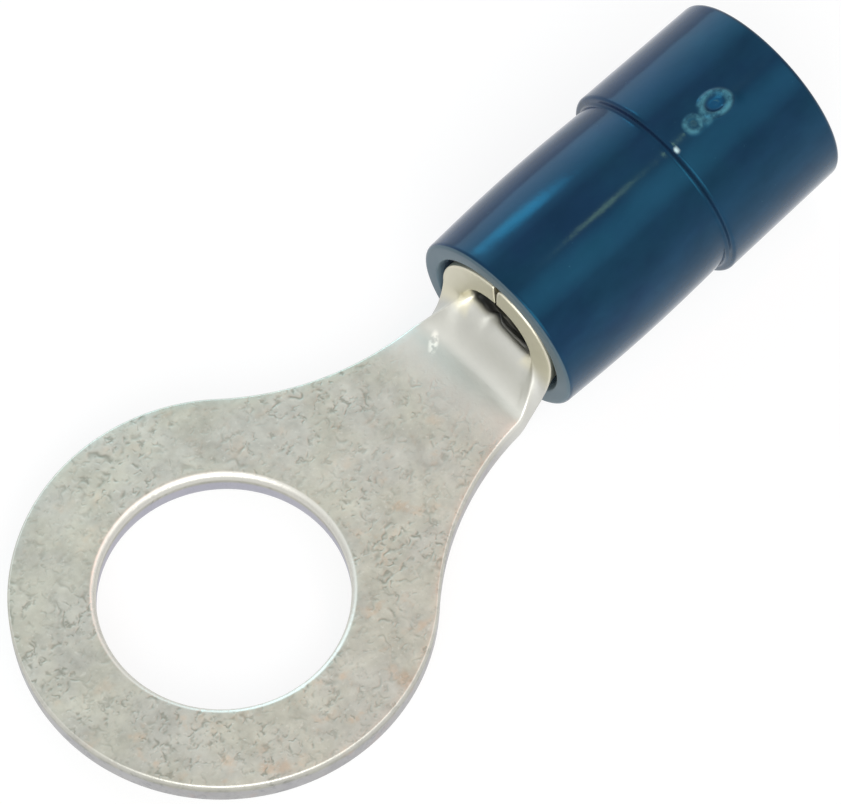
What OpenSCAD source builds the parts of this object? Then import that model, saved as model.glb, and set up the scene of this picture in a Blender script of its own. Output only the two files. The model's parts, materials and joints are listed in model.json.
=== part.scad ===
// Pre-insulated ring terminal: one rolled sheet-metal terminal body and one moulded sleeve.
// Millimetres. Origin: centre of the stud hole on the tongue's underside.
// +Z runs up the stud hole. +X runs along the barrel to the wire entry.

/* [Shown] */
// Sub-part to draw

/* [Ring tongue] */
// Outside diameter of the ring
ring_od = 11; // [10.4:0.1:12]
// Diameter of the stud hole
hole_d = 6.5; // [5.2:0.1:6.7]
// Sheet thickness
sheet_t = 0.8; // [0.6:0.05:0.9]
// Radius of the punched-over upper edge of the hole
hole_roll = 0.16; // [0.08:0.02:0.24]
// Radius of the waist between the ring and the neck
waist_r = 8; // [6:0.25:9]
// Width of the neck
neck_w = 3.9; // [3.4:0.05:4.1]

/* [Barrel] */
// Outside diameter of the rolled barrel
barrel_od = 3.9; // [3.8:0.02:4]
// Diameter of the wire bore
bore_d = 2.3; // [2.1:0.05:2.4]
// Distance from the hole's centre to the barrel's front edge
front_x = 9.8; // [9.6:0.05:10.2]
// Length of the barrel
barrel_len = 5.4; // [4.8:0.1:5.6]
// Width of the butted seam along the top of the barrel
seam_w = 0.08; // [0.04:0.01:0.16]
// Height that the wire stop is pressed up from the tongue's top face
stop_h = 0.85; // [0.4:0.05:0.9]
// Inside corner between the neck and the barrel's edge, on the +Y side
corner_left = 0.45; // [0.3:0.05:0.9]
// The same corner on the -Y side
corner_right = 0.95; // [0.3:0.05:0.95]

/* [Sleeve] */
// Outside diameter of the sleeve at its front rim
grip_d = 5.3; // [5.1:0.05:5.6]
// How far the sleeve's front part swells at its middle
belly = 0.07; // [0.02:0.01:0.12]
// Outside diameter of the wider rear part at the step
rear_d = 5.8; // [5.7:0.05:6.2]
// Outside diameter at the rear rim
mouth_d = 5.66; // [5.5:0.02:5.8]
// Distance from the hole's centre to the step
step_x = 15.5; // [15.3:0.05:16]
// Distance from the hole's centre to the rear rim
rear_x = 19.45; // [18.8:0.05:20.5]
// Diameter of the insulation entry
entry_d = 4.5; // [4.1:0.05:4.7]
// Diameter of the countersink round the barrel's front edge
lip_d = 4.3; // [4.1:0.05:4.5]

/* [Hidden] */
$fn = 96;
eps = 0.01;                      // overshoot of a cut past the face it opens
bell = 0.2;                      // flare at the barrel's wire end
axis_z = barrel_od / 2;          // height of the barrel's axis over the underside
ri = bore_d / 2;
ro = barrel_od / 2;
rm = (ri + ro) / 2;              // radius of the sheet's middle once rolled
barrel_end = front_x + barrel_len;

// --- outline of the tongue -------------------------------------------------
ring_r = ring_od / 2;
nw = neck_w / 2;
waist_sin = (nw + waist_r) / (ring_r + waist_r);
waist_x = (ring_r + waist_r) * sqrt(1 - waist_sin * waist_sin);
touch_x = ring_r * sqrt(1 - waist_sin * waist_sin);
root_x = touch_x - 0.17;         // the neck starts inside the ring
join_x = touch_x + 0.18;         // and follows the waist from here
chord = 0.5;                     // stretch of the waist that gives the root its slope
function arc_w(x) = nw + waist_r - sqrt(waist_r * waist_r - (waist_x - x) * (waist_x - x));
join_slope = (arc_w(join_x) - arc_w(join_x + chord)) / chord;
function half_w(x) =
    x < join_x ? arc_w(join_x) + (join_x - x) * join_slope : x < waist_x ? arc_w(x) : nw;

// --- transition from flat tongue to rolled barrel --------------------------
stop_x0 = front_x - 1;           // the pressed ramp begins
crest_x0 = front_x + 0.2;        // and reaches its crest here
crest_skew = 0.08;               // the crest slants by this much per millimetre across
crest_arch = 0.17;               // and reaches this much further under the seam
crest_s = 0.42;                  // the arch's place off the middle line
crest_w = 0.22;                  // and its half width
wing_x0 = front_x - 0.9;         // the wings begin to curl up
floor_x0 = front_x - 1.2;        // the floor begins to round
floor_x1 = front_x + 0.45;       // and is round here
floor_s = 1.9;                   // the floor's rule ends at this distance off the middle
wing_s = 3;                      // and the wing's rule holds from here out
run_x = front_x + 0.7;           // from here on the barrel is a plain tube
lap = 0.06;                      // how far the plain tube laps the formed part
skin = 0.01;                     // keeps the formed part inside the plain tube's wall
soft = 0.2;                      // how gently the ramp runs into the curled sides

PLATE = 9;                       // stations along the flat neck
RAMP = 6;                        // stations along the ramp
ROLL = 8;                        // stations from the corner to the plain tube
HALF = 6;                        // strips from the middle to the neck's edge
BEND = 4;                        // strips round the corner
WING = 10;                       // strips from the corner up to the seam
I0 = PLATE + RAMP;
N = I0 + ROLL;
M = HALF + BEND + WING;

function ease(v) = let (c = min(1, max(0, v))) c * c * (3 - 2 * c);
function mix(a, b, v) = a + (b - a) * v;
function station(i) =
    i == 0 ? root_x
    : mix(join_x, stop_x0, (i - 1) / (PLATE - 1));

// inside corner of the side that strip j lies on, blended across the floor
function corner(j) = mix(corner_right, corner_left, min(1, max(0, (j / HALF + 1) / 2)));

// distance from the middle line, measured along the sheet
reach = PI * rm - seam_w / 2;
function along(x, j) = let (k = abs(j), sg = sign(j))
    k <= HALF ? half_w(x) * j / HALF
    : k <= HALF + BEND ? sg * (nw + corner(j) * (1 - cos(90 * (k - HALF) / BEND)))
    : sg * mix(nw + corner(j), reach, (k - HALF - BEND) / WING);
// the front edge of the blank at that distance
function edge_x(j) = let (k = abs(j))
    k <= HALF ? front_x - corner(j)
    : k <= HALF + BEND ? front_x - corner(j) * (1 - sin(90 * (k - HALF) / BEND))
    : front_x;
function at_x(i, j) = i <= PLATE ? station(i)
    : i <= I0 ? mix(stop_x0, edge_x(j), (i - PLATE) / RAMP)
    : mix(edge_x(j), run_x, (i - I0) / ROLL);

function crest_x(s) = crest_x0 + crest_skew * max(-1.2, min(1.2, s))
    + crest_arch * exp(-pow((s - crest_s) / crest_w, 2));
function lift(x, s) = stop_h * ease((x - stop_x0) / (crest_x(s) - stop_x0));
function pressed(x, s) = 1 - ease((x - crest_x(s)) / (run_x - crest_x(s)));
// how far the sheet has been rolled: 0 flat, 1 round
function rolled(x, s) = mix(
    ease((x - floor_x0) / (floor_x1 - floor_x0)),
    ease((x - wing_x0) / (front_x - wing_x0)),
    ease((abs(s) - floor_s) / (wing_s - floor_s)));
function higher(a, b) = (a + b + sqrt((a - b) * (a - b) + soft * soft)) / 2;
// a point of the sheet's face: r is the rolled radius of that face, h its height when flat
function face_pt(x, s, r, h) = let (
        a = s / rm * 180 / PI,
        b = rolled(x, s),
        flat = h + lift(x, s),
        zc = axis_z - r * cos(a),
        zp = zc + pressed(x, s) * (higher(zc, flat) - zc))
    [x, mix(s, r * sin(a), b), mix(flat, zp, b)];
function sheet_pt(i, j, top) = let (x = at_x(i, j), s = along(x, j))
    top == 1 ? face_pt(x, s, ri + skin, sheet_t) : face_pt(x, s, ro - skin, 0);

W = 2 * M + 1;
function id(i, j, top) = (i * W + j + M) * 2 + top;
sheet_points = [for (i = [0:N]) for (j = [-M:M]) for (t = [0, 1]) sheet_pt(i, j, t)];
function two(a, b, c, d) = [[a, b, c], [a, c, d]];
function cell(i, j) = concat(
    two(id(i, j, 1), id(i, j + 1, 1), id(i + 1, j + 1, 1), id(i + 1, j, 1)),
    two(id(i, j, 0), id(i + 1, j, 0), id(i + 1, j + 1, 0), id(i, j + 1, 0)));
function side_l(i, j) = two(id(i + 1, j, 1), id(i, j, 1), id(i, j, 0), id(i + 1, j, 0));
function side_r(i, j) = two(id(i, j, 1), id(i + 1, j, 1), id(i + 1, j, 0), id(i, j, 0));
function front(i, j) = two(id(i, j + 1, 1), id(i, j, 1), id(i, j, 0), id(i, j + 1, 0));
function back(i, j) = two(id(i, j, 1), id(i, j + 1, 1), id(i, j + 1, 0), id(i, j, 0));
sheet_faces = concat(
    [for (i = [0:I0 - 1]) for (j = [-HALF:HALF - 1]) each cell(i, j)],
    [for (i = [I0:N - 1]) for (j = [-M:M - 1]) each cell(i, j)],
    [for (i = [0:I0 - 1]) each concat(side_l(i, HALF), side_r(i, -HALF))],
    [for (i = [I0:N - 1]) each concat(side_l(i, M), side_r(i, -M))],
    [for (j = [-HALF:HALF - 1]) each front(0, j)],
    [for (j = [HALF:M - 1]) each concat(front(I0, j), front(I0, -j - 1))],
    [for (j = [-M:M - 1]) each back(N, j)]);

module ring() {
    hr = hole_d / 2;
    difference() {
        cylinder(r = ring_r, h = sheet_t);
        translate([0, 0, -sheet_t]) cylinder(r = hr, h = 3 * sheet_t);
        // rounded upper edge of the punched hole
        rotate_extrude() difference() {
            translate([hr - hole_roll, sheet_t - hole_roll]) square(2 * hole_roll);
            translate([hr + hole_roll, sheet_t - hole_roll]) circle(r = hole_roll, $fn = 32);
        }
    }
}

module on_axis(x) { translate([x, 0, axis_z]) rotate([0, 90, 0]) children(); }

module barrel() {
    difference() {
        on_axis(run_x - lap) cylinder(r = ro, h = barrel_end - run_x + lap);
        on_axis(front_x) cylinder(r = ri, h = 2 * barrel_len);
        // bell mouth at the wire end
        on_axis(barrel_end - bell) cylinder(r1 = ri, r2 = ri + bell + eps, h = bell + eps);
        // butted seam
        translate([front_x, -seam_w / 2, axis_z]) cube([2 * barrel_len, seam_w, 2 * ro]);
    }
}

module terminal_body() {
    color([0.75, 0.74, 0.69]) union() {
        ring();
        polyhedron(points = sheet_points, faces = sheet_faces, convexity = 8);
        barrel();
    }
}

// --- sleeve ----------------------------------------------------------------
function arc(cx, cy, r, a0, a1, n) =
    [for (i = [0:n]) let (a = mix(a0, a1, i / n)) [cx + r * cos(a), cy + r * sin(a)]];
gr = grip_d / 2;
rr = rear_d / 2;
mr = mouth_d / 2;
er = entry_d / 2;
rim = 0.14;                      // rounding of the front rim
back_rim = 0.14;                 // rounding of the rear rim
nose = 0.1;                      // rounding of the step and of the entry's lip
throat = ri + bell;              // the funnel's narrow end meets the barrel's flare
throat_len = 0.2;
funnel_len = 1.1;
sink_len = 0.45;                 // depth of the countersink at the front
SWELL = 6;                       // stretches of the front part's curve
swell = [for (i = [1:SWELL]) let (v = i / SWELL)
    [mix(front_x + rim, step_x - nose, v), gr + belly * sin(180 * v)]];
sleeve_profile = concat(
    arc(front_x + rim, gr - rim, rim, 180, 90, 5),
    swell,
    arc(step_x - nose, gr + nose, nose, 270, 360, 4),
    arc(step_x + nose, rr - nose, nose, 180, 90, 4),
    arc(rear_x - back_rim, mr - back_rim, back_rim, 90, 0, 5),
    arc(rear_x - nose, er + nose, nose, 0, -90, 4),
    [[barrel_end + throat_len + funnel_len, er], [barrel_end + throat_len, throat],
     [barrel_end, throat], [barrel_end, ro], [front_x + sink_len, ro], [front_x, lip_d / 2]]);

// spent gate of the mould: a low collar with a sunk centre
gate_x = mix(step_x, rear_x, 0.44);
gate_turn = 10;                  // degrees from the top, towards -Y
gate_r = 0.42;
gate_core_r = 0.22;
gate_rise = 0.06;                // the collar's height over the sleeve
gate_depth = 0.16;               // the centre's depth below it
module gate_at() { translate([gate_x, 0, axis_z]) rotate([gate_turn, 0, 0]) children(); }

module sleeve() {
    color([0.12, 0.31, 0.44]) difference() {
        union() {
            on_axis(0) rotate_extrude() polygon([for (p = sleeve_profile) [p[1], p[0]]]);
            gate_at() translate([0, 0, (er + rr) / 2])
                cylinder(r = gate_r, h = (rr - er) / 2 + gate_rise, $fn = 48);
        }
        gate_at() translate([0, 0, rr + gate_rise - gate_depth])
            cylinder(r = gate_core_r, h = 1, $fn = 48);
    }
}

terminal_body();
sleeve();
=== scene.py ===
"""Looks of a pre-insulated ring terminal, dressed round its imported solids.

Lengths are millimetres until a mesh is written, and metres after that. The row frame has its origin at
the centre of the stud hole on the tongue's underside, +Z up the hole and +X along the barrel.
"""

import json
import logging
import math
from dataclasses import dataclass
from enum import Enum
from functools import reduce

import bmesh
import bpy
from mathutils import Matrix, Vector


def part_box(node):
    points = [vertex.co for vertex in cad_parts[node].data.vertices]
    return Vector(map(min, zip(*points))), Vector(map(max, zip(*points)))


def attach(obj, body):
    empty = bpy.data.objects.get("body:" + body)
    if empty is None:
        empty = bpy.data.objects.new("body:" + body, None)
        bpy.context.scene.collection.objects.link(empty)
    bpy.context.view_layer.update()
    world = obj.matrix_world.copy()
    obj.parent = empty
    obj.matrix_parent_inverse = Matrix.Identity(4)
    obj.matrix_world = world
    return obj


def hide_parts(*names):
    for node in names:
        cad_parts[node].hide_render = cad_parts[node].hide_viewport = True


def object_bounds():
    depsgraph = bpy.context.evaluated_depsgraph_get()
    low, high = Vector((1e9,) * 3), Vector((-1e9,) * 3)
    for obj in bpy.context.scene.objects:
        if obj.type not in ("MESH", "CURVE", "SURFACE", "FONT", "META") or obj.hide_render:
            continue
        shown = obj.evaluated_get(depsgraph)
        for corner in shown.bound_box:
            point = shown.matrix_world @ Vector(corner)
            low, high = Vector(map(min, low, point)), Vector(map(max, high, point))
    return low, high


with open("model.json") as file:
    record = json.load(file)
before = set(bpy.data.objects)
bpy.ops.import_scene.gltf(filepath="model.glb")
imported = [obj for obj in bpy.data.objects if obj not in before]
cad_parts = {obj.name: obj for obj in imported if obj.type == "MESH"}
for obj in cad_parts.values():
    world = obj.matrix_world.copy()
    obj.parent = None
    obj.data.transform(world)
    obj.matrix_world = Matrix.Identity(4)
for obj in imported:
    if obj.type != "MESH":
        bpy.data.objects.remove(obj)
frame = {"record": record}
CAD_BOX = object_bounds()

MM = 0.001
MERGE = 1e-7
WHITE = (1.0, 1.0, 1.0)
LOG = logging.getLogger("ring_terminal")

Point = tuple[float, float, float]
Colour = tuple[float, float, float]
Line = list[tuple[float, float]]
Socket = bpy.types.NodeSocket


class Node(Enum):
    """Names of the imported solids."""

    BODY = "terminal_body"
    SLEEVE = "sleeve"


class Slot(Enum):
    """Names of the record's material slots."""

    METAL = "tinned_copper"
    PLASTIC = "sleeve_plastic"


def mix(a: float, b: float, v: float) -> float:
    """Return the value a share v of the way from a to b."""
    return a + (b - a) * v


def ease(v: float) -> float:
    """Return a smooth step from 0 to 1."""
    c = min(1.0, max(0.0, v))
    return c * c * (3.0 - 2.0 * c)


def glide(v: float) -> float:
    """Return a step from 0 to 1 whose slope starts and ends more softly still."""
    c = min(1.0, max(0.0, v))
    return mix(ease(c), c**3 * (c * (6.0 * c - 15.0) + 10.0), 0.6)


def spread(a: float, b: float, n: int) -> list[float]:
    """Return n + 1 even values from a to b."""
    return [mix(a, b, i / n) for i in range(n + 1)]


def polar(r: float, a: float) -> tuple[float, float]:
    """Return the flat point at radius r and angle a."""
    return r * math.cos(a), r * math.sin(a)


def mount(name: str) -> dict:
    """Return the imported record's mount of that name."""
    return next(m for m in frame["record"]["mounts"] if m["name"] == name)


def box_mm(node: Node) -> tuple[Vector, Vector]:
    """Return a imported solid's lowest and highest corners in millimetres."""
    low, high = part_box(node.value)
    return low / MM, high / MM


def link(name: str, data: bpy.types.ID) -> bpy.types.Object:
    """Return a new object of the scene that holds some data.

    Args:
        name: Name of the object.
        data: Mesh, camera or light that it holds.

    Returns:
        The object, linked to the scene.
    """
    thing = bpy.data.objects.new(name, data)
    bpy.context.scene.collection.objects.link(thing)
    return thing


def stand(across: Vector, up: Vector, back: Vector, place: Vector) -> Matrix:
    """Return the matrix that stands a camera or a lamp at a place, with its back to one side."""
    rows = ((across[i], up[i], back[i], place[i]) for i in range(3))
    return Matrix((*rows, (0.0, 0.0, 0.0, 1.0)))


def close_up(mesh: bpy.types.Mesh) -> None:
    """Merge a closed mesh's doubles, point its faces outwards and shade them smooth.

    Args:
        mesh: The mesh, which is changed in place.
    """
    work = bmesh.new()
    work.from_mesh(mesh)
    bmesh.ops.remove_doubles(work, verts=work.verts, dist=MERGE)
    bmesh.ops.recalc_face_normals(work, faces=work.faces)
    for face in work.faces:
        face.smooth = True
    work.to_mesh(mesh)
    work.free()


@dataclass(frozen=True)
class Oval:
    """Centre and half sizes of an oval."""

    x: float
    y: float
    long: float
    wide: float


class Graph:
    """A node tree while it is being wired."""

    def __init__(self, tree: bpy.types.NodeTree) -> None:
        """Take the tree to wire, and empty it."""
        self.tree = tree
        tree.nodes.clear()

    def add(self, kind: str, inputs: dict | None = None, **settings) -> bpy.types.Node:
        """Add a node.

        Args:
            kind: Type name of the node.
            inputs: Values or output sockets for its inputs, by name or number.
            **settings: Properties of the node.

        Returns:
            The node.
        """
        node = self.tree.nodes.new(kind)
        for name, value in settings.items():
            setattr(node, name, value)
        for name, value in (inputs or {}).items():
            self.feed(node.inputs[name], value)
        return node

    def out(self, kind: str, inputs: dict | None = None, **settings) -> Socket:
        """Add a node as add does, and return its first output."""
        return self.add(kind, inputs, **settings).outputs[0]

    def feed(self, socket: Socket, value: object) -> None:
        """Link an output socket to an input, or set the input's own value.

        Args:
            socket: The input.
            value: An output socket, or a plain value.
        """
        if isinstance(value, Socket):
            self.tree.links.new(value, socket)
        elif socket.type == "RGBA" and len(value) == 3:
            socket.default_value = (*value, 1.0)
        else:
            socket.default_value = value

    def math(self, operation: str, *values: object) -> Socket:
        """Return the result of a math node."""
        return self.out("ShaderNodeMath", dict(enumerate(values)), operation=operation)

    def times(self, *values: object) -> Socket:
        """Return the product of sockets and numbers."""
        return reduce(lambda a, b: self.math("MULTIPLY", a, b), values)

    def plus(self, a: object, b: object) -> Socket:
        """Return the sum of two sockets or numbers."""
        return self.math("ADD", a, b)

    def line(self, value: object, slope: object, start: object) -> Socket:
        """Return a value times a slope, plus a start."""
        return self.math("MULTIPLY_ADD", value, slope, start)

    def most(self, *values: object) -> Socket:
        """Return the greatest of sockets and numbers."""
        return reduce(lambda a, b: self.math("MAXIMUM", a, b), values)

    def squares(self, u: object, v: object) -> Socket:
        """Return the sum of two squares."""
        return self.plus(self.times(u, u), self.times(v, v))

    def step(self, value: Socket, low: float, high: float) -> Socket:
        """Return a smooth 0 to 1 as the value goes from low to high."""
        inputs = {0: value, 1: low, 2: high}
        return self.out("ShaderNodeMapRange", inputs, interpolation_type="SMOOTHSTEP")

    def oval(self, along: object, across: object, shape: Oval) -> Socket:
        """Return how far a point is from an oval's centre, as a share of the oval's half sizes.

        Args:
            along: Place of the point along the oval's length.
            across: Place of the point across it.
            shape: The oval, in the same units.

        Returns:
            0 at the centre and 1 on the oval.
        """
        u = self.line(along, 1.0 / shape.long, -shape.x / shape.long)
        v = self.line(across, 1.0 / shape.wide, -shape.y / shape.wide)
        return self.math("SQRT", self.squares(u, v))

    def hill(self, value: object, low: float, top: float, high: float) -> Socket:
        """Return a smooth rise from low to top, and the fall from there to high."""
        return self.times(self.step(value, low, top), self.step(value, high, top))

    def blend(self, share: object, a: object, b: object) -> Socket:
        """Return colour a turned into colour b by a share.

        Args:
            share: 0 for a and 1 for b.
            a: The first colour.
            b: The second colour.

        Returns:
            The colour between them.
        """
        node = self.add("ShaderNodeMix", data_type="RGBA")
        for number, value in ((0, share), (6, a), (7, b)):
            self.feed(node.inputs[number], value)
        return node.outputs[2]


class Paint(Graph):
    """A material's node tree, with patterns sized in millimetres on the piece's own coordinates."""

    def __init__(self, name: str) -> None:
        """Make an empty material with an output."""
        self.material = bpy.data.materials.new(name)
        self.material.use_nodes = True
        super().__init__(self.material.node_tree)
        self.place = self.add("ShaderNodeTexCoord").outputs["Object"]
        axes = self.add("ShaderNodeSeparateXYZ", {0: self.place}).outputs
        self.x, self.y, self.z = (self.math("DIVIDE", axis, MM) for axis in axes)

    def noise(
        self, size: float, detail: float = 3.0, shift: Point = (0.0, 0.0, 0.0),
        stretch: Point = (1.0, 1.0, 1.0), turn: float = 0.0, rough: float = 0.55,
    ) -> Socket:
        """Return a cloudy pattern.

        Args:
            size: Size of its features in millimetres.
            detail: Number of finer layers.
            shift: Place in the pattern, which sets this layer apart from the others.
            stretch: How many times finer the pattern is along each axis.
            turn: Turn about the stud hole's axis in degrees.
            rough: Strength of the finer layers.

        Returns:
            The pattern's value, about 0.5 on average.
        """
        mapping = self.add("ShaderNodeMapping", {"Vector": self.place})
        mapping.inputs["Location"].default_value = shift
        mapping.inputs["Rotation"].default_value = (0.0, 0.0, math.radians(turn))
        mapping.inputs["Scale"].default_value = tuple(v / (size * MM) for v in stretch)
        inputs = {"Vector": mapping.outputs[0], "Scale": 1.0, "Detail": detail, "Roughness": rough}
        return self.out("ShaderNodeTexNoise", inputs)

    def swing(self, amount: float, *noise: object, **layers: object) -> Socket:
        """Return a cloudy pattern that swings about 0 by some amount."""
        return self.line(self.noise(*noise, **layers), amount, -0.5 * amount)

    def curls(self, size: float, width: float, shift: Point) -> Socket:
        """Return short thin curls, which are the level lines of a cloudy pattern.

        Args:
            size: Size of the pattern's features in millimetres.
            width: Half the pattern's range that a curl takes up.
            shift: Place in the pattern.

        Returns:
            1 along the middle of a curl and 0 off it.
        """
        level = self.math("SUBTRACT", self.noise(size, 2, shift, rough=0.5), 0.5)
        line = self.step(self.math("ABSOLUTE", level), width, 0.0)
        cuts = self.step(self.noise(0.6 * size, 2, shift[::-1]), 0.50, 0.66)
        return self.times(line, cuts)

    def spot(self, shape: Oval, turn: float) -> Socket:
        """Return a soft oval spot seen along Z.

        Args:
            shape: The oval in millimetres.
            turn: Angle of its length from X in degrees.

        Returns:
            1 at its centre and 0 outside it.
        """
        c, s = math.cos(math.radians(turn)), math.sin(math.radians(turn))
        dx, dy = self.math("SUBTRACT", self.x, shape.x), self.math("SUBTRACT", self.y, shape.y)
        u = self.plus(self.times(dx, c / shape.long), self.times(dy, s / shape.long))
        v = self.plus(self.times(dy, c / shape.wide), self.times(dx, -s / shape.wide))
        return self.step(self.squares(u, v), 1.0, 0.0)

    def scaled(self, colour: object, share: object) -> Socket:
        """Return a colour times a number."""
        return self.out("ShaderNodeVectorMath", {0: colour, 3: share}, operation="SCALE")

    def painted(self, name: str) -> Socket:
        """Return a number that the mesh carries at its points."""
        return self.add("ShaderNodeAttribute", attribute_name=name).outputs["Fac"]

    def bump(self, height: object, depth: float, strength: float) -> Socket:
        """Return a surface normal that is roughened by a height of some millimetres."""
        inputs = {"Strength": strength, "Distance": depth * MM, "Height": height}
        return self.out("ShaderNodeBump", inputs)

    def finish(self, shader: Socket) -> bpy.types.Material:
        """Send a shader to the output and return the material."""
        self.add("ShaderNodeOutputMaterial", {"Surface": shader})
        return self.material


@dataclass(frozen=True)
class MatteTin:
    """Matte tin plate on the stamped sheet, handled and a little tarnished, with some painted
    highlights and painted shade.
    """

    cream: Colour = (0.430, 0.426, 0.362)
    lilac: Colour = (0.428, 0.426, 0.380)
    smudge: Colour = (0.150, 0.156, 0.122)
    pale: Colour = (0.600, 0.600, 0.545)
    tarnish: Colour = (0.50, 0.37, 0.26)
    sheared: Colour = (0.440, 0.440, 0.520)
    # Paler tone of the pressed ramp, also used as painted light on the flat before the bend.
    pressed: Colour = (0.556, 0.556, 0.516)
    # Colour of the painted glint on the bend.
    glint_colour: Colour = (0.95, 0.92, 0.84)
    # Lighter colour painted on the rollovers as a highlight.
    rolled: Colour = (0.66, 0.65, 0.60)
    # Painted shade inside the barrel's bore.
    bore_shade: Colour = (0.080, 0.085, 0.095)
    lip: Colour = (0.700, 0.665, 0.520)
    roughness: float = 0.46
    bend_x: float = 8.5
    run_x: float = 10.4
    bore_x: float = 9.95
    bore_r: float = 1.22
    axis_z: float = 1.95
    glint: Oval = Oval(8.70, 1.22, 0.40, 0.16)
    glint_turn: float = 35.0
    curls: tuple = ((0.58, 0.070, (6, 3, 1)), (0.40, 0.080, (1, 8, 4)), (0.85, 0.045, (9, 2, 7)))
    curl_depth: float = 0.62
    # Share and shift of the painted highlight: a pale copy of each curl, set a little to one side.
    curl_highlight: float = 0.30
    curl_highlight_shift: tuple[float, float] = (0.07, 0.05)
    bump_mm: float = 0.014

    def flecks(self, p: Paint, colour: object, flat: object) -> tuple:
        """Add the mottling, the dark scratches and specks with pale offset copies as their painted
        highlight, and the pale flecks.

        Args:
            p: Material that is being wired.
            colour: Colour so far.
            flat: 1 on the flat palm and 0 behind it.

        Returns:
            The new colour, and how deep the dark marks go, 0 to 1.
        """
        value = p.plus(p.swing(0.40, 1.5, 2, (4, 1, 1)), p.swing(0.46, 0.60, 3, (3, 7, 1)))
        value = p.plus(value, p.swing(0.34, 0.26, 3, (7, 2, 5), rough=0.6))
        colour = p.scaled(colour, p.plus(value, 1.0))
        crowd = p.line(p.step(p.noise(1.8, 2, (5, 5, 1)), 0.42, 0.60), 0.55, 0.45)
        crowd = p.times(crowd, p.line(flat, 0.92, 0.08))
        off_x, off_y = self.curl_highlight_shift
        # Painted highlight: pale copies of the curls, shifted to one side, make them look raised.
        for size, width, (a, b, c) in self.curls:
            curl_highlight = p.times(p.curls(size, width, (a + off_x, b + off_y, c)), crowd)
            colour = p.blend(p.times(curl_highlight, self.curl_highlight), colour, self.pale)
        specks = p.times(p.step(p.noise(0.20, 1, (2, 4, 8)), 0.58, 0.80), 0.7)
        marks = p.times(p.most(specks, *(p.curls(*layer) for layer in self.curls)), crowd)
        colour = p.blend(p.times(marks, self.curl_depth), colour, self.smudge)
        pale = p.step(p.noise(0.13, 2, (1, 9, 4)), 0.60, 0.78)
        return p.blend(p.times(pale, 0.35), colour, self.pale), marks

    def worked(self, p: Paint, colour: object, flat: object) -> Socket:
        """Add the sheared walls' tint and painted light: the rollovers painted lighter as a highlight,
        the bend brightened where the sleeve shades its reflection, and a painted glint on the bend.

        Args:
            p: Material that is being wired.
            colour: Colour so far.
            flat: 1 on the flat palm and 0 behind it.

        Returns:
            The new colour.
        """
        edge = p.painted("sheared")
        wall = p.most(p.times(edge, p.line(flat, 0.7, 0.15)), 0.0)
        colour = p.blend(wall, colour, self.sheared)
        # Painted highlight: the rollovers, marked below zero, are painted lighter.
        colour = p.blend(p.most(p.times(edge, -0.9), 0.0), colour, self.rolled)
        # Painted light: the bend, and more its -Y side, made brighter where the sleeve shades what they
        # reflect.
        lee = p.line(p.step(p.y, 0.4, -1.6), 0.75, 0.25)
        painted_bend_light = p.times(p.hill(p.x, self.bend_x - 0.9, self.bend_x + 0.3, self.run_x), lee)
        colour = p.scaled(colour, p.line(painted_bend_light, 0.18, 1.0))
        # Painted highlight: a glint on the bend, broken up by a noise.
        glint_breakup = p.step(p.noise(0.20, 2, (3, 3, 3)), 0.36, 0.60)
        glint = p.times(p.spot(self.glint, self.glint_turn), glint_breakup)
        return p.blend(p.times(glint, 0.9), colour, self.glint_colour)

    def barrel(self, p: Paint, colour: object) -> Socket:
        """Add a lighter, yellower tone on the barrel's front outside the bore, and painted shade inside
        the bore.

        Args:
            p: Material that is being wired.
            colour: Colour so far.

        Returns:
            The new colour.
        """
        away = p.math("SQRT", p.squares(p.y, p.math("SUBTRACT", p.z, self.axis_z)))
        lip = p.times(
            p.step(away, 0.8 * self.bore_r, 0.95 * self.bore_r),
            p.step(p.x, self.bore_x - 0.45, self.bore_x - 0.20),
        )
        colour = p.blend(p.times(lip, 0.8), colour, self.lip)
        # Painted shade: the bore is darkened past its front.
        inside = p.times(
            p.step(away, self.bore_r, 0.9 * self.bore_r),
            p.step(p.x, self.bore_x, self.bore_x + 0.25),
        )
        return p.blend(p.times(inside, 0.9), colour, self.bore_shade)

    def material(self) -> bpy.types.Material:
        """Wire the finish."""
        p = Paint("matte_tin")
        flat = p.step(p.x, self.bend_x + 0.1, self.bend_x - 1.2)
        colour = p.blend(p.step(p.noise(1.6, 3, (3, 1, 2)), 0.36, 0.64), self.cream, self.lilac)
        near = p.line(p.step(p.y, 0.6, -1.6), 0.6, 0.4)
        brown = p.times(p.step(p.noise(0.60, 3, (8, 1, 6)), 0.54, 0.72), near, flat)
        colour, marks = self.flecks(p, p.blend(p.times(brown, 0.50), colour, self.tarnish), flat)
        # Partly the pressed ramp's own paler tone, partly painted light: it starts on the flat before
        # the bend, where the sleeve darkens what the tongue reflects.
        pressed_tone_and_light = p.times(p.step(p.x, self.bend_x - 1.6, self.bend_x), 0.85)
        colour = p.blend(pressed_tone_and_light, colour, self.pressed)
        colour = self.barrel(p, self.worked(p, colour, flat))
        rough = p.plus(p.swing(0.14, 0.5, 2, (4, 4, 1)), self.roughness)
        rough = p.math("SUBTRACT", rough, p.times(pressed_tone_and_light, 0.02))
        height = p.plus(p.noise(0.12, 2, (4, 4, 4)), p.times(p.noise(0.5, 2, (9, 9, 2)), 2.0))
        height = p.math("SUBTRACT", height, p.times(marks, 2.5))
        inputs = {
            "Base Color": colour, "Metallic": 1.0, "Roughness": rough,
            "Normal": p.bump(height, self.bump_mm, 0.18),
        }
        return p.finish(p.out("ShaderNodeBsdfPrincipled", inputs))


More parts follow.
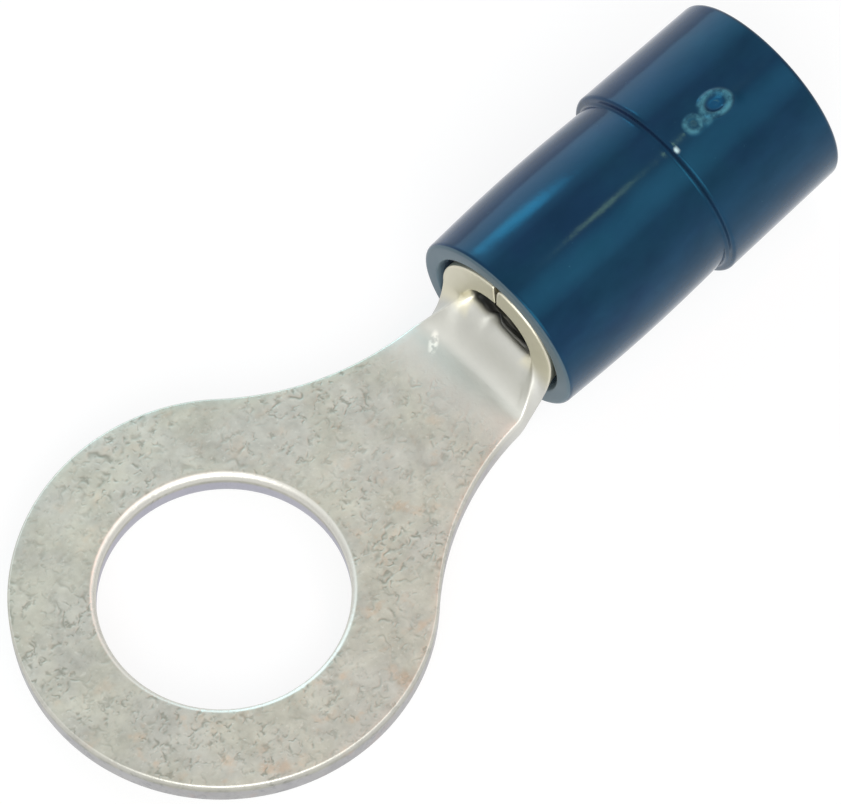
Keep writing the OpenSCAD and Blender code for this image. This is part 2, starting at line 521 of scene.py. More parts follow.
@dataclass(frozen=True)
class MouldedPolyamide:
    """Glossy dark blue polyamide with the soft colour drift of a thin moulding, and some painted light
    and shade.
    """

    navy: Colour = (0.0085, 0.0205, 0.0560)
    teal: Colour = (0.0090, 0.0310, 0.0640)
    chalk: Colour = (0.085, 0.265, 0.335)
    core: Colour = (0.010, 0.070, 0.165)
    dent_shadow: Colour = (0.004, 0.013, 0.038)
    step_glint: Colour = (0.60, 0.80, 0.82)
    sawn_face_and_reflection: Colour = (0.125, 0.175, 0.200)
    dust: Colour = (0.07, 0.17, 0.22)
    sheen: Colour = (0.08, 0.62, 1.0)
    roughness: float = 0.13
    bump_mm: float = 0.006

    def material(self) -> bpy.types.Material:
        """Wire the finish."""
        p = Paint("blue_polyamide")
        around = p.line(p.y, -0.17, 0.42)
        cloud = p.swing(2.6, 1.9, 3, (1, 2, 3))
        share = p.step(p.plus(around, cloud), 0.0, 1.0)
        colour = p.blend(share, self.navy, self.teal)
        colour = p.scaled(colour, p.plus(p.swing(0.8, 0.8, 3, (6, 6, 2), (0.5, 1, 1)), 1.0))
        # Painted light: the +Y flank, and a little the -Y flank, painted paler as if lit from that
        # side.
        painted_side_light = p.plus(p.step(p.y, 0.5, 2.4), p.times(p.step(p.y, -1.9, -2.6), 0.4))
        colour = p.scaled(colour, p.plus(painted_side_light, 1.0))
        dust = p.step(p.noise(0.16, 2, (3, 8, 1)), 0.72, 0.84)
        colour = p.blend(p.times(dust, 0.35), colour, self.dust)
        gate, end = p.painted("gate"), p.painted("sawn_face_and_reflection")
        worn = p.times(gate, p.step(p.noise(0.24, 3, (2, 2, 6)), 0.34, 0.66))
        worn = p.line(worn, 0.70, p.times(gate, 0.22))
        colour = p.blend(p.times(p.painted("core"), 0.8), colour, self.core)
        colour = p.blend(worn, colour, self.chalk)
        # Painted shadow of a dent, which the geometry doesn't have.
        colour = p.blend(p.times(p.painted("dent_shadow"), 0.75), colour, self.dent_shadow)
        # Painted glint at the sleeve's step.
        colour = p.blend(p.painted("step_glint"), colour, self.step_glint)
        # Partly the front face's own duller tone, partly a painted reflection of the white floor that
        # makes it paler.
        colour = p.blend(p.times(end, 0.8), colour, self.sawn_face_and_reflection)
        rough = p.plus(p.swing(0.10, 0.9, 3, (2, 7, 5)), self.roughness)
        rough = p.line(p.most(gate, end), 0.22, rough)
        height = p.plus(p.noise(0.22, 2, (5, 1, 9)), p.times(p.noise(1.6, 2), 4.0))
        inputs = {
            "Base Color": colour, "Metallic": 0.0, "Roughness": rough, "IOR": 1.5,
            "Specular IOR Level": 0.35, "Specular Tint": self.sheen,
            "Normal": p.bump(height, self.bump_mm, 0.3),
        }
        return p.finish(p.out("ShaderNodeBsdfPrincipled", inputs))


class Surface:
    """Collects points and faces of one mesh."""

    def __init__(self) -> None:
        """Start with nothing."""
        self.points: list[Point] = []
        self.faces: list[tuple[int, ...]] = []
        self.marks: list[float] = []

    def weave(self, rows: list[list[Point]], marks: list[float], closed: bool) -> None:
        """Add rows of points, and join each to the row before with four-sided faces.

        Args:
            rows: Rows of the same length.
            marks: Each row's mark: 1 on a sheared wall, -1 on a rollover that the finish paints lighter
                as a highlight, 0 on a face.
            closed: Whether a row's last point joins its first.
        """
        before = None
        for points, mark in zip(rows, marks):
            first, n = len(self.points), len(points)
            self.points.extend(points)
            self.marks.extend([mark] * n)
            row = [*range(first, first + n), first]
            if before:
                pairs = zip(before, before[1:], row[1:], row)
                self.faces.extend(list(pairs)[:n if closed else n - 1])
            before = row

    def make(self, name: str, mark: str) -> bpy.types.Object:
        """Make a smooth closed mesh object.

        Args:
            name: Name of the object.
            mark: Name of the attribute that holds the marks.

        Returns:
            The new object, linked to the scene.
        """
        mesh = bpy.data.meshes.new(name)
        mesh.from_pydata([tuple(c * MM for c in p) for p in self.points], [], self.faces)
        mesh.attributes.new(mark, "FLOAT", "POINT").data.foreach_set("value", self.marks)
        close_up(mesh)
        return link(name, mesh)


@dataclass
class TerminalBody:
    """The stamped and rolled sheet: ring, tongue, wire stop and barrel.

    The sheet is laid out flat first, as a blank of points (x, s) with s measured across the sheet, and
    each point is then carried to its place by the forming rule of the real tool.
    """

    ring_r: float
    hole_r: float
    sheet: float
    axis_z: float
    bore_r: float
    front_x: float
    end_x: float
    waist_r: float = 8.0
    bell: float = 0.2
    corner_left: float = 0.45
    corner_right: float = 0.95
    seam: float = 0.08
    stop_h: float = 0.85
    crest_skew: float = 0.08
    crest_arch: float = 0.17
    crest_s: float = 0.42
    crest_w: float = 0.22
    floor_s: float = 1.9
    wing_s: float = 3.0
    soft: float = 0.2
    inset: float = 0.26
    edge_roll: float = 0.07
    edge_drop: float = 1.25
    edge_burr: float = 0.05
    edge_wall: float = 0.88
    hole_roll: float = 0.17
    hole_wall: float = 0.77
    rollover_steps: int = 6
    ring_steps: int = 96
    waist_steps: int = 40
    ring_bands: int = 8
    ramp_steps: int = 30
    roll_steps: int = 34
    tube_steps: int = 12
    half_steps: int = 28
    bend_steps: int = 12
    wing_steps: int = 36

    @classmethod
    def from_frame(cls) -> "TerminalBody":
        """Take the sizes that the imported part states."""
        low, high = box_mm(Node.BODY)
        wire = mount("wire_barrel")
        return cls(
            ring_r=-low.x,
            hole_r=mount("stud_hole")["dims"]["r_mm"],
            sheet=mount("nut_face")["pos_m"][2] / MM,
            axis_z=wire["pos_m"][2] / MM,
            bore_r=wire["dims"]["r_mm"],
            front_x=box_mm(Node.SLEEVE)[0].x,
            end_x=high.x,
        )

    def __post_init__(self) -> None:
        """Work out the places that follow from the sizes."""
        self.barrel_r = self.axis_z
        self.mid_r = (self.bore_r + self.barrel_r) / 2
        self.neck = self.barrel_r
        self.reach = math.pi * self.mid_r - self.seam / 2
        waist_sin = (self.neck + self.waist_r) / (self.ring_r + self.waist_r)
        self.touch = math.asin(waist_sin)
        self.waist_x = (self.ring_r + self.waist_r) * math.cos(self.touch)
        self.first_x = self.front_x - 1.5
        self.stop_x = self.front_x - 1.0
        self.crest_x = self.front_x + 0.2
        self.wing_x = self.front_x - 0.9
        self.floor_x0 = self.front_x - 1.2
        self.floor_x1 = self.front_x + 0.45
        self.run_x = self.front_x + 0.7
        self.last = self.ramp_steps + self.roll_steps + self.tube_steps
        self.bend_column = self.half_steps + self.bend_steps
        self.edge_column = self.bend_column + self.wing_steps

    def half_width(self, x: float) -> float:
        """Return half the blank's width at x, past the ring.

        Args:
            x: Distance along the terminal.

        Returns:
            The half width in millimetres.
        """
        if x >= self.waist_x:
            return self.neck
        rise = math.sqrt(self.waist_r**2 - (self.waist_x - x) ** 2)
        return self.neck + self.waist_r - rise

    def corner(self, j: int) -> float:
        """Return the inside corner's radius for column j, blended across the floor."""
        share = min(1.0, max(0.0, (j / self.half_steps + 1) / 2))
        return mix(self.corner_right, self.corner_left, share)

    def column(self, j: int, inset: float) -> tuple[float, float]:
        """Return where column j starts its way along the barrel.

        Args:
            j: Column number, below 0 on the -Y side.
            inset: Distance inwards from the sheared edge.

        Returns:
            The x of the blank's front edge there and the distance across the blank.
        """
        k, corner = abs(j), self.corner(j)
        if k <= self.half_steps:
            x, s = self.front_x - corner, (self.neck - self.inset) * k / self.half_steps
        elif k <= self.bend_column:
            turn = math.pi / 2 * (k - self.half_steps) / self.bend_steps
            x = self.front_x - corner + (corner + inset) * math.sin(turn)
            s = self.neck + corner - (corner + inset) * math.cos(turn)
        else:
            share = (k - self.bend_column) / self.wing_steps
            x, s = self.front_x + inset, mix(self.neck + corner, self.reach - inset, share)
        return x, math.copysign(s, j)

    def along(self, i: int, start: float, inset: float) -> float:
        """Return the x of cross row i in a column that starts at the front edge's x.

        Args:
            i: Number of the cross row.
            start: The x of the front edge in that column.
            inset: Distance inwards from the sheared edge.

        Returns:
            The x in millimetres.
        """
        i -= self.ramp_steps
        if i <= 0:
            return mix(start, self.first_x, -i / self.ramp_steps)
        if i <= self.roll_steps:
            return mix(start, self.run_x, i / self.roll_steps)
        return mix(self.run_x, self.end_x - inset, (i - self.roll_steps) / self.tube_steps)

    def blank_point(self, i: int, j: int) -> tuple[float, float]:
        """Return the blank's grid point at cross row i and column j.

        Args:
            i: Number of the cross row.
            j: Column number, below 0 on the -Y side.

        Returns:
            The x there and the distance across the blank.
        """
        start, s = self.column(j, self.inset)
        x = self.along(i, start, self.inset)
        if abs(j) <= self.half_steps:
            s = (self.half_width(x) - self.inset) * j / self.half_steps
        return x, s

    def side(self, inset: float, sign: int) -> Line:
        """Return one side of the blank's outline, drawn inset from its edge.

        Args:
            inset: Distance inwards from the sheared edge.
            sign: 1 for the +Y side and -1 for the -Y side.

        Returns:
            Points from the ring's far end to the middle of the barrel's wire end.
        """
        ring_r = self.ring_r - inset
        turns = spread(math.pi, self.touch, self.ring_steps)
        line = [polar(ring_r, sign * a) for a in turns]
        line += [(x, sign * s) for x, s in self.waist(inset)]
        start = self.front_x - self.corner(sign * self.half_steps)
        for i in range(1, self.ramp_steps + 1):
            x = self.along(i, start, inset)
            line.append((x, sign * (self.half_width(x) - inset)))
        columns = range(self.half_steps + 1, self.edge_column + 1)
        line += [self.column(sign * j, inset) for j in columns]
        rows = range(self.ramp_steps + 1, self.last + 1)
        first = self.front_x + inset
        line += [(self.along(i, first, inset), sign * (self.reach - inset)) for i in rows]
        return line + self.wire_edge(inset, sign)

    def waist(self, inset: float) -> Line:
        """Return the waist's arc on the +Y side, from the ring to the first cross row.

        Args:
            inset: Distance inwards from the sheared edge.

        Returns:
            Its points, without the first.
        """
        r = self.waist_r + inset
        centre_s = self.neck + self.waist_r
        start = math.atan2(
            centre_s - self.ring_r * math.sin(self.touch),
            self.waist_x - self.ring_r * math.cos(self.touch),
        )
        end = math.acos((self.waist_x - self.first_x) / r)
        turns = spread(start, end, self.waist_steps)[1:]
        return [(self.waist_x - r * math.cos(a), centre_s - r * math.sin(a)) for a in turns]

    def wire_edge(self, inset: float, sign: int) -> Line:
        """Return the barrel's wire end on one side, from the seam to the middle.

        Args:
            inset: Distance inwards from the sheared edge.
            sign: 1 for the +Y side and -1 for the -Y side.

        Returns:
            Its points.
        """
        line = []
        for j in range(self.edge_column - 1, -1, -1):
            hold = inset if j > self.bend_column else self.inset
            line.append((self.end_x - inset, self.column(sign * j, hold)[1]))
        return line

    @staticmethod
    def ringed(left: list[tuple], right: list[tuple]) -> list[tuple]:
        """Join two sides that share their first and last points into one closed line."""
        return left + right[-2:0:-1]

    def outline(self, inset: float) -> Line:
        """Return the whole outline, closed, drawn inset from the edge."""
        return self.ringed(self.side(inset, 1), self.side(inset, -1))

    def rolled(self, x: float, s: float) -> float:
        """Return how far the sheet is rolled there: 0 flat, 1 round.

        Args:
            x: Distance along the terminal.
            s: Distance across the blank.

        Returns:
            The share of the full roll.
        """
        floor = ease((x - self.floor_x0) / (self.floor_x1 - self.floor_x0))
        wing = ease((x - self.wing_x) / (self.front_x - self.wing_x))
        return mix(floor, wing, ease((abs(s) - self.floor_s) / (self.wing_s - self.floor_s)))

    def face_point(self, x: float, s: float, r: float, flat: float) -> Point:
        """Carry a blank point to its place on one face of the formed sheet.

        Args:
            x: Distance along the terminal.
            s: Distance across the blank.
            r: Rolled radius of that face.
            flat: Height of that face while it is flat.

        Returns:
            The point in millimetres.
        """
        turn = s / self.mid_r
        share = self.rolled(x, s)
        arch = math.exp(-(((s - self.crest_s) / self.crest_w) ** 2))
        slant = self.crest_skew * max(-1.2, min(1.2, s))
        climb = min(1.0, max(0.0, (x - self.stop_x) / (self.crest_x - self.stop_x)))
        crest = self.crest_x + slant + self.crest_arch * arch * climb**4
        height = flat + self.stop_h * glide((x - self.stop_x) / (crest - self.stop_x))
        pressed = 1.0 - ease((x - crest) / (self.run_x - crest))
        z = self.axis_z - r * math.cos(turn)
        higher = (z + height + math.sqrt((z - height) ** 2 + self.soft**2)) / 2
        z = mix(z, higher, pressed)
        return x, mix(s, r * math.sin(turn), share), mix(height, z, share)

    def formed(self, x: float, s: float, depth: float) -> Point:
        """Carry a blank point to its place.

        Args:
            x: Distance along the terminal.
            s: Distance across the blank.
            depth: Place in the sheet's thickness, 0 on the underside and 1 on top.

        Returns:
            The point in millimetres.
        """
        if x <= self.floor_x0:
            return x, s, self.sheet * depth
        flare = max(0.0, x - (self.end_x - self.bell))
        under = self.face_point(x, s, self.barrel_r, 0.0)
        over = self.face_point(x, s, self.bore_r + flare, self.sheet)
        return tuple(mix(a, b, depth) for a, b in zip(under, over))

    @staticmethod
    def mark(depth: float, wall: float) -> float:
        """Return an edge row's mark, from its depth and the depth at which the rollover ends.

        Args:
            depth: Place in the sheet's thickness, 0 on the underside and 1 on top.
            wall: Depth at which the rollover ends.

        Returns:
            1 on the wall, -1 on the rollover and 0 on a face.
        """
        if depth in (0.0, 1.0):
            return 0.0
        return 1.0 if depth <= wall else -1.0

    def rollover(self, roll: float, drop: float) -> Line:
        """Return an edge's rollover, from the top face down.

        Args:
            roll: How far it reaches in from the wall.
            drop: How deep it is, as a share of that.

        Returns:
            Inset and depth of each point.
        """
        turns = [v * math.pi / 2 for v in spread(0.0, 1.0, self.rollover_steps)]
        fall = drop * roll / self.sheet
        return [(roll * (1 - math.sin(a)), 1.0 - fall * (1 - math.cos(a))) for a in turns]

    def edge_levels(self) -> Line:
        """Return the sheared edge's section: inset and depth, from the top face to the underside."""
        levels = [(self.inset, 1.0), *self.rollover(self.edge_roll, self.edge_drop)]
        levels += [(0.0, 0.6), (0.004, 0.3), (0.012, 0.12)]
        levels += [(0.02, 0.06), (0.035, 0.018), (0.012 + self.edge_burr, 0.0)]
        return levels + [(self.inset, 0.0)]

    def hole_levels(self) -> Line:
        """Return the punched hole's section: radius added and depth, from top to underside."""
        levels = [(self.inset, 1.0), *self.rollover(self.hole_roll, 1.0)]
        levels += [(0.0, 0.5), (0.0, 0.3), (0.006, 0.12), (0.02, 0.03), (0.05, 0.0)]
        return levels + [(self.inset, 0.0)]

    def build(self) -> bpy.types.Object:
        """Build the formed sheet as one closed mesh."""
        skin = Surface()
        levels = self.edge_levels()
        rows = [[self.formed(x, s, depth) for x, s in self.outline(inset)] for inset, depth in levels]
        skin.weave(rows, [0.5 * self.mark(depth, self.edge_wall) for _, depth in levels], True)
        turns = [math.atan2(s, x) for x, s in self.collar()]
        levels = self.hole_levels()
        rows = [
            [(*polar(self.hole_r + out, a), self.sheet * depth) for a in turns] for out, depth in levels
        ]
        skin.weave(rows, [self.mark(depth, self.hole_wall) for _, depth in levels], True)
        for depth in (1.0, 0.0):
            self.add_face(skin, depth, turns)
        return skin.make("terminal_body_formed", "sheared")

    def collar(self) -> Line:
        """Return the closed line round the flat ring and tongue, up to the first cross row."""
        flat = self.ring_steps + 1 + self.waist_steps
        sides = []
        for sign in (1, -1):
            across = range(self.half_steps - 1, -1, -1)
            row = [self.blank_point(0, sign * j) for j in across]
            sides.append(self.side(self.inset, sign)[:flat] + row)
        return self.ringed(*sides)

    def add_face(self, skin: Surface, depth: float, hole_turns: list[float]) -> None:
        """Add the sheet's top or underside inside its edges.

        Args:
            skin: Surface to add to.
            depth: 1 for the top face and 0 for the underside.
            hole_turns: Angles of the hole's points.
        """
        hole = [(*polar(self.hole_r + self.inset, a), self.sheet * depth) for a in hole_turns]
        edge = [(*p, self.sheet * depth) for p in self.collar()]
        rows = [
            [tuple(mix(*c, share) for c in zip(a, b)) for a, b in zip(hole, edge)]
            for share in spread(0.0, 1.0, self.ring_bands)
        ]
        skin.weave(rows, [0.0] * len(rows), True)
        for first, last, reach in (
            (0, self.ramp_steps, self.half_steps),
            (self.ramp_steps, self.last, self.edge_column),
        ):
            rows = [
                [self.formed(*self.blank_point(i, j), depth) for j in range(-reach, reach + 1)]
                for i in range(first, last + 1)
            ]
            skin.weave(rows, [0.0] * len(rows), False)


@dataclass
class Sleeve:
    """The moulded insulating sleeve, turned from its section by geometry nodes."""

    front_x: float
    rear_x: float
    axis_z: float
    rear_r: float
    entry_r: float
    barrel_r: float
    barrel_end: float
    throat: float
    step_x: float = 15.5
    grip_r: float = 2.65
    mouth_r: float = 2.83
    lip_r: float = 2.15
    belly: float = 0.07
    gate_turn: float = 10.0
    gate_r: float = 0.42
    gate_core_r: float = 0.22
    gate_rise: float = 0.06
    gate_depth: float = 0.064
    gate_share: float = 0.44
    gate_head: Oval = Oval(0.0, 0.0, 1.20, 0.88)
    gate_tail: Oval = Oval(-1.98, -0.08, 0.72, 0.66)
    gate_bridge: Oval = Oval(-1.18, -0.38, 0.62, 0.46)
    dent_shadow_oval: Oval = Oval(1.38, -0.80, 0.62, 0.66)
    step_glint_oval: Oval = Oval(-3.93, -0.60, 0.17, 0.28)
    rim: float = 0.14
    nose: float = 0.1
    lip_round: float = 0.06
    funnel: float = 1.3
    seat: float = 0.2
    relief: float = 0.45
    turns: int = 512

    @classmethod
    def from_frame(cls, body: TerminalBody) -> "Sleeve":
        """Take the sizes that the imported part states.

        Args:
            body: The terminal body that the sleeve is pushed on.

        Returns:
            The sleeve's sizes.
        """
        low, high = box_mm(Node.SLEEVE)
        return cls(
            front_x=low.x,
            rear_x=high.x,
            axis_z=body.axis_z,
            rear_r=high.y,
            entry_r=mount("insulation_entry")["dims"]["r_mm"],
            barrel_r=body.barrel_r,
            barrel_end=body.end_x,
            throat=body.bore_r + body.bell,
        )

    def gate_x(self) -> float:
        """Return the spent gate's place along the axis."""
        return mix(self.step_x, self.rear_x, self.gate_share)

    def section(self) -> Line:
        """Return the closed section, as distance along the axis and radius."""
        rim, nose, lip = self.rim, self.nose, self.lip_round
        line = self.arc(self.front_x + rim, self.grip_r - rim, rim, 180, 90, 8)
        for v in spread(0.0, 1.0, 36)[1:]:
            x = mix(self.front_x + rim, self.step_x - nose, v)
            line.append((x, self.grip_r + self.belly * math.sin(math.pi * v)))
        line += self.arc(self.step_x - nose, self.grip_r + nose, nose, 270, 350, 6)
        line += self.arc(self.step_x + nose, self.rear_r - nose, nose, 170, 90, 6)
        start, stop = self.step_x + nose, self.rear_x - rim
        before, after = self.gate_x() - 1.2, self.gate_x() + 0.7
        places = spread(start, before, 5)[1:] + spread(before, after, 52)[1:]
        for x in places + spread(after, stop, 10)[1:-1]:
            line.append((x, mix(self.rear_r, self.mouth_r, (x - start) / (stop - start))))
        line += self.arc(self.rear_x - rim, self.mouth_r - rim, rim, 90, 0, 10)
        line += self.arc(self.rear_x - nose, self.entry_r + nose, nose, 0, -90, 6)
        line += [
            (self.barrel_end + self.funnel, self.entry_r),
            (self.barrel_end + self.seat, self.throat),
            (self.barrel_end, self.throat),
            (self.barrel_end, self.barrel_r),
            (self.front_x + self.relief, self.barrel_r),
        ]
        return line + self.arc(self.front_x + lip, self.lip_r + lip, lip, 250, 180, 5)

    @staticmethod
    def arc(cx: float, cr: float, r: float, a0: float, a1: float, n: int) -> Line:
        """Return points of an arc from angle a0 to a1, in degrees.

        Args:
            cx: Place of its centre along the axis.
            cr: Radius of its centre.
            r: Radius of the arc.
            a0: First angle.
            a1: Last angle.
            n: Number of steps.

        Returns:
            Its points.
        """
        turns = [math.radians(a) for a in spread(a0, a1, n)]
        return [(cx + r * math.cos(a), cr + r * math.sin(a)) for a in turns]

    def outline_object(self) -> bpy.types.Object:
        """Make the section as a closed line of edges, with x along the axis and y as radius."""
        section = self.section()
        mesh = bpy.data.meshes.new("sleeve_section")
        n = len(section)
        corners = [(x * MM, r * MM, 0.0) for x, r in section]
        mesh.from_pydata(corners, [(i, (i + 1) % n) for i in range(n)], [])
        return link("sleeve_moulded", mesh)

    def turning_tree(self, finish: bpy.types.Material) -> bpy.types.NodeTree:
        """Wire the tree that turns a section round the barrel's axis and raises the gate mark.

        Args:
            finish: Material of the turned piece.

        Returns:
            The tree, with the inputs Geometry, Turns and those of gate_inputs.
        """
        tree = bpy.data.node_groups.new("sleeve_turning", "GeometryNodeTree")
        face = tree.interface
        face.new_socket("Geometry", in_out="INPUT", socket_type="NodeSocketGeometry")
        face.new_socket("Turns", in_out="INPUT", socket_type="NodeSocketInt")
        for name in self.gate_inputs():
            face.new_socket(name, in_out="INPUT", socket_type="NodeSocketFloat")
        face.new_socket("Geometry", in_out="OUTPUT", socket_type="NodeSocketGeometry")
        g = Graph(tree)
        given = g.add("NodeGroupInput").outputs
        line = g.out("GeometryNodeMeshToCurve", {0: given["Geometry"]})
        spot = g.out("GeometryNodeInputPosition")
        held = g.add("GeometryNodeCaptureAttribute", {0: line})
        held.capture_items.new("VECTOR", "Section")
        g.feed(held.inputs["Section"], spot)
        ring = g.add("GeometryNodeCurvePrimitiveCircle", {"Resolution": given["Turns"], "Radius": 1.0})
        count = g.out("GeometryNodeInputIndex")
        share = g.math("DIVIDE", count, given["Turns"])
        turned = g.add("GeometryNodeCaptureAttribute", {0: ring.outputs[0]})
        turned.capture_items.new("FLOAT", "Turn")
        g.feed(turned.inputs["Turn"], g.times(share, 2 * math.pi))
        swept = g.out("GeometryNodeCurveToMesh", {
            "Curve": turned.outputs[0], "Profile Curve": held.outputs[0],
        })
        xyz = g.add("ShaderNodeSeparateXYZ", {0: held.outputs["Section"]}).outputs
        x, r, turn = xyz[0], xyz[1], turned.outputs["Turn"]
        raised, marks = self.gate_mark(g, given, x, r, turn)
        # The sleeve's front face: rougher, and painted paler as a reflection.
        marks["sawn_face_and_reflection"] = g.math("LESS_THAN", x, (self.front_x + self.lip_round) * MM)
        radius = g.plus(r, raised)
        place = g.add("ShaderNodeCombineXYZ", {
            0: x,
            1: g.times(radius, g.math("SINE", turn)),
            2: g.plus(given["Axis Height"], g.times(radius, g.math("COSINE", turn))),
        }).outputs[0]
        moved = g.out("GeometryNodeSetPosition", {"Geometry": swept, "Position": place})
        for name, value in marks.items():
            moved = g.add(
                "GeometryNodeStoreNamedAttribute", {"Geometry": moved, "Name": name, "Value": value},
                data_type="FLOAT", domain="POINT",
            ).outputs[0]
        smooth = g.out("GeometryNodeSetShadeSmooth", {"Geometry": moved})
        whole = g.out("GeometryNodeRealizeInstances", {"Geometry": smooth})
        dressed = g.out("GeometryNodeSetMaterial", {"Geometry": whole, "Material": finish})
        g.add("NodeGroupOutput", {0: dressed})
        return tree

    def gate_inputs(self) -> dict[str, float]:
        """Return the tree's named inputs in its own units, metres and radians."""
        return {
            "Axis Height": self.axis_z * MM,
            "Gate X": self.gate_x() * MM,
            "Gate Turn": math.radians(-self.gate_turn),
            "Gate Radius": self.gate_r * MM,
            "Core Radius": self.gate_core_r * MM,
            "Gate Rise": self.gate_rise * MM,
            "Gate Depth": self.gate_depth * MM,
            "Skin": self.entry_r * MM,
        }

    def gate_mark(self, g: Graph, given: object, x: object, r: object, turn: object) -> tuple:
        """Wire the spent gate: a worn oval collar with a sunk centre and a smeared tail to the front.

        Args:
            g: Tree that is being wired.
            given: The tree's inputs.
            x: Distance along the axis.
            r: Radius of the point.
            turn: Angle of the point round the axis.

        Returns:
            The height over the skin, and the finish's marks of 0 to 1 by name.
        """
        gap = g.math("SUBTRACT", turn, given["Gate Turn"])
        gap = g.math("ARCTAN2", g.math("SINE", gap), g.math("COSINE", gap))
        outer = g.math("GREATER_THAN", r, g.times(given["Skin"], 1.12))
        u = g.math("DIVIDE", g.math("SUBTRACT", x, given["Gate X"]), given["Gate Radius"])
        v = g.math("DIVIDE", g.times(gap, r), given["Gate Radius"])
        core = g.math("DIVIDE", given["Core Radius"], given["Gate Radius"])
        head = g.oval(u, g.line(u, 0.10, v), self.gate_head)
        collar = g.hill(head, 0.46, 0.80, 1.12)
        sunk = g.step(g.math("DIVIDE", head, core), 1.25, 0.55)
        tail = g.oval(u, v, self.gate_tail)
        bridge = g.step(g.oval(u, v, self.gate_bridge), 1.1, 0.4)
        smear = g.most(
            g.hill(tail, 0.20, 0.72, 1.15), g.times(g.step(tail, 1.0, 0.3), 0.3), g.times(bridge, 0.7)
        )
        # Painted shadow of a dent: nothing is sunk here, only a dark spot is marked.
        dent_shadow_mask = g.step(g.oval(u, v, self.dent_shadow_oval), 1.0, 0.0)
        # Painted glint on the step's rim; nothing is raised there.
        step_glint = g.step(g.oval(u, v, self.step_glint_oval), 1.0, 0.3)
        height = g.times(g.plus(collar, g.times(smear, 0.5)), given["Gate Rise"])
        height = g.math("SUBTRACT", height, g.times(sunk, given["Gate Depth"]))
        scar = g.most(collar, g.times(smear, 0.85))
        marks = {"gate": scar, "core": sunk, "dent_shadow": dent_shadow_mask, "step_glint": step_glint}
        return g.times(height, outer), {name: g.times(mark, outer) for name, mark in marks.items()}

    def build(self, finish: bpy.types.Material) -> bpy.types.Object:
        """Turn the section into the sleeve.

        Args:
            finish: Material of the sleeve.

        Returns:
            The sleeve as a plain mesh object.
        """
        thing = self.outline_object()
        tree = self.turning_tree(finish)
        turning = thing.modifiers.new("turning", "NODES")
        turning.node_group = tree
        values = {"Turns": self.turns, **self.gate_inputs()}
        for item in tree.interface.items_tree:
            if item.in_out == "INPUT" and item.name in values:
                turning[item.identifier] = values[item.name]
        graph = bpy.context.evaluated_depsgraph_get()
        mesh = bpy.data.meshes.new_from_object(thing.evaluated_get(graph))
        thing.modifiers.clear()
        thing.data = mesh
        close_up(mesh)
        return thing


@dataclass(frozen=True)
class Lamp:
    """One softbox: where it hangs, how large it is and how brightly its face glows."""

    name: str
    way: Point
    distance: float
    width: float
    height: float
    glow: float
    colour: Colour = WHITE
    side: Point = (1.0, 0.0, 0.0)
    aim: Point = (7.0, 0.0, 2.0)


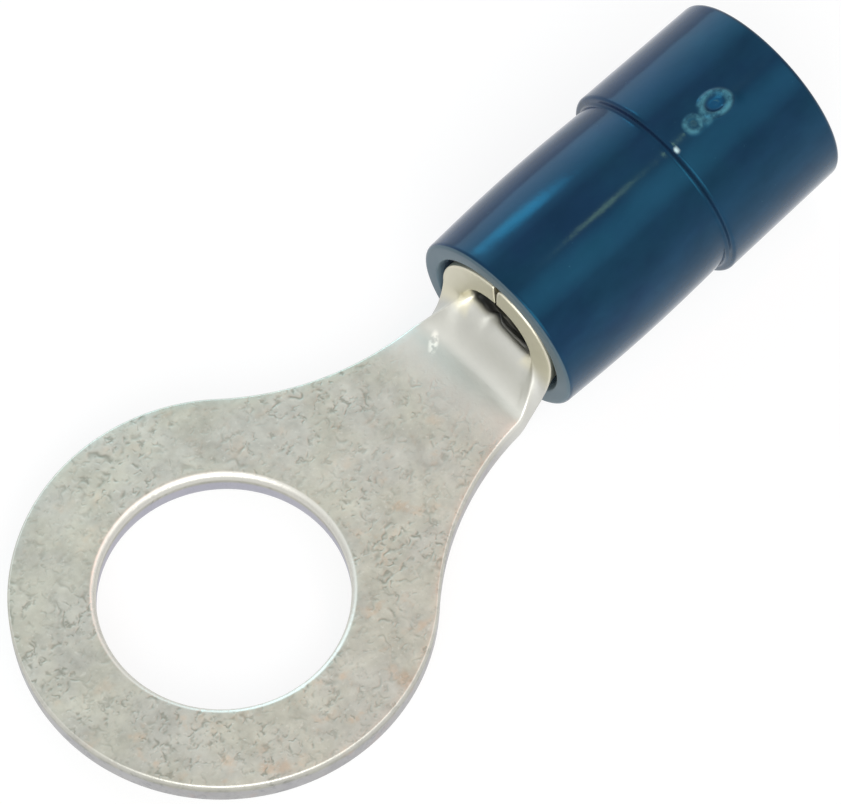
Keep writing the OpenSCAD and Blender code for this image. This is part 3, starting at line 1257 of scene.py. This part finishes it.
@dataclass
class Studio:
    """Camera, lamps, floor and background."""

    turn: float = 41.82
    rise: float = 63.36
    roll: float = -3.15
    distance: float = 300.0
    scale: float = 39.308
    image_w: int = 841
    sensor: float = 36.0
    aim_across: float = 4.98315
    aim_up: float = 5.1592
    fill: float = 0.25
    floor_half: float = 1.5
    floor_grey: float = 0.85
    back: float = 1.05
    shadow: float = 0.2
    near: float = 0.01
    far: float = 10.0
    lamps: tuple[Lamp, ...] = (
        Lamp(
            "window", way=(-0.50, -0.56, 0.66), distance=0.40, width=0.50, height=0.40, glow=2.0,
            side=(0.745, -0.667, 0.0),
        ),
        Lamp("key", way=(0.30, -0.46, 0.84), distance=0.40, width=0.36, height=0.30, glow=0.75),
        Lamp(
            "side", way=(0.30, 0.87, 0.38), distance=0.35, width=0.34, height=0.44, glow=0.8,
            colour=(0.6, 0.87, 1.0),
        ),
        Lamp(
            "streak", way=(0.30, 0.79, 0.535), distance=0.040, width=0.016, height=0.0065, glow=3.0,
            colour=(0.12, 0.80, 1.0), side=(0.26, -0.63, 0.73), aim=(10.6, 0.82, 4.49),
        ),
        Lamp(
            "strip", way=(0.30, -0.045, 0.953), distance=0.060, width=0.0095, height=0.0060, glow=15.0,
            colour=(1.0, 0.24, 0.085), aim=(15.4, -0.53, 4.58),
        ),
    )

    def camera(self) -> None:
        """Place the camera at the viewing angle."""
        turn, rise, roll = (math.radians(v) for v in (self.turn, self.rise, self.roll))
        right = Vector((math.cos(turn), -math.sin(turn), 0.0))
        ahead = Vector((
            math.cos(rise) * math.sin(turn), math.cos(rise) * math.cos(turn), -math.sin(rise),
        ))
        up = right.cross(ahead)
        tilted = right * math.cos(roll) + up * math.sin(roll)
        lifted = up * math.cos(roll) - right * math.sin(roll)
        aim = tilted * self.aim_across + lifted * self.aim_up
        place = (aim - ahead * self.distance) * MM
        data = bpy.data.cameras.new("camera")
        data.sensor_width = self.sensor
        data.lens = self.sensor * self.scale * self.distance / self.image_w
        data.clip_start = self.near
        data.clip_end = self.far
        eye = link("camera", data)
        eye.matrix_world = stand(tilted, lifted, -ahead, place)
        bpy.context.scene.camera = eye

    def seen(self, g: Graph) -> Socket:
        """Return 1 for rays that show the background: camera, glossy and transmission rays."""
        path = g.add("ShaderNodeLightPath").outputs
        return g.most(path["Is Camera Ray"], path["Is Glossy Ray"], path["Is Transmission Ray"])

    def world(self) -> None:
        """Surround the scene with white, and light it with a softer share of it."""
        world = bpy.data.worlds.new("studio")
        bpy.context.scene.world = world
        world.use_nodes = True
        g = Graph(world.node_tree)
        level = g.line(self.seen(g), 1.0 - self.fill, self.fill)
        back = g.add("ShaderNodeBackground", {"Color": WHITE, "Strength": level})
        g.add("ShaderNodeOutputWorld", {"Surface": back.outputs[0]})

    def floor(self) -> None:
        """Lay a white floor that keeps the object's shadow."""
        low = CAD_BOX[0][2]
        mesh = bpy.data.meshes.new("floor")
        w = self.floor_half
        mesh.from_pydata([(-w, -w, low), (w, -w, low), (w, w, low), (-w, w, low)], [], [(0, 1, 2, 3)])
        p = Paint("floor")
        plain = p.out("ShaderNodeBsdfDiffuse", {"Color": (self.floor_grey,) * 3})
        shade = p.out("ShaderNodeBsdfDiffuse", {"Color": (self.shadow,) * 3})
        glow = p.add("ShaderNodeEmission", {"Color": WHITE, "Strength": self.back - self.shadow})
        lit = p.out("ShaderNodeAddShader", {0: shade, 1: glow.outputs[0]})
        both = p.out("ShaderNodeMixShader", {0: self.seen(p), 1: plain, 2: lit})
        mesh.materials.append(p.finish(both))
        link("floor", mesh)

    @staticmethod
    def soften(light: bpy.types.Light) -> None:
        """Let a softbox's face fade towards its sides, with its power kept.

        Args:
            light: The softbox's light.
        """
        light.use_nodes = True
        g = Graph(light.node_tree)
        uv = g.add("ShaderNodeNewGeometry").outputs["Parametric"]
        u, v = (g.add("ShaderNodeSeparateXYZ", {0: uv}).outputs[i] for i in (0, 1))
        fades = []
        for value in (u, v):
            off = g.line(value, 2.0, -1.0)
            fades.append(g.line(g.times(off, off), -1.5, 1.5))
        glow = g.add("ShaderNodeEmission", {"Strength": g.times(*fades)})
        g.add("ShaderNodeOutputLight", {"Surface": glow.outputs[0]})

    def lamp(self, lamp: Lamp) -> None:
        """Hang one softbox and point it at the object.

        Args:
            lamp: The softbox.
        """
        data = bpy.data.lights.new(lamp.name, "AREA")
        data.shape = "RECTANGLE"
        data.size, data.size_y = lamp.width, lamp.height
        data.energy = lamp.glow * math.pi * lamp.width * lamp.height
        data.color = lamp.colour
        self.soften(data)
        way, side = Vector(lamp.way).normalized(), Vector(lamp.side)
        across = (side - way * side.dot(way)).normalized()
        place = Vector(lamp.aim) * MM + way * lamp.distance
        thing = link(lamp.name, data)
        thing.matrix_world = stand(across, way.cross(across), way, place)
        thing.visible_camera = False

    def build(self) -> None:
        """Set up the whole studio."""
        self.camera()
        self.world()
        self.floor()
        for lamp in self.lamps:
            self.lamp(lamp)
        bpy.context.scene.view_settings.view_transform = "Standard"


def dress(thing: bpy.types.Object, node: Node) -> None:
    """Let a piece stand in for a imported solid.

    Args:
        thing: The piece.
        node: The solid that it replaces.
    """
    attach(thing, "root")
    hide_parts(node.value)
    LOG.info("%s: %d faces", thing.name, len(thing.data.polygons))


def main() -> None:
    """Build and dress every piece, and light it."""
    logging.basicConfig(level=logging.INFO, format="%(message)s")
    body = TerminalBody.from_frame()
    formed = body.build()
    formed.data.materials.append(MatteTin().material())
    dress(formed, Node.BODY)
    sleeve = Sleeve.from_frame(body)
    dress(sleeve.build(MouldedPolyamide().material()), Node.SLEEVE)
    Studio().build()


if __name__ == "__main__":
    main()
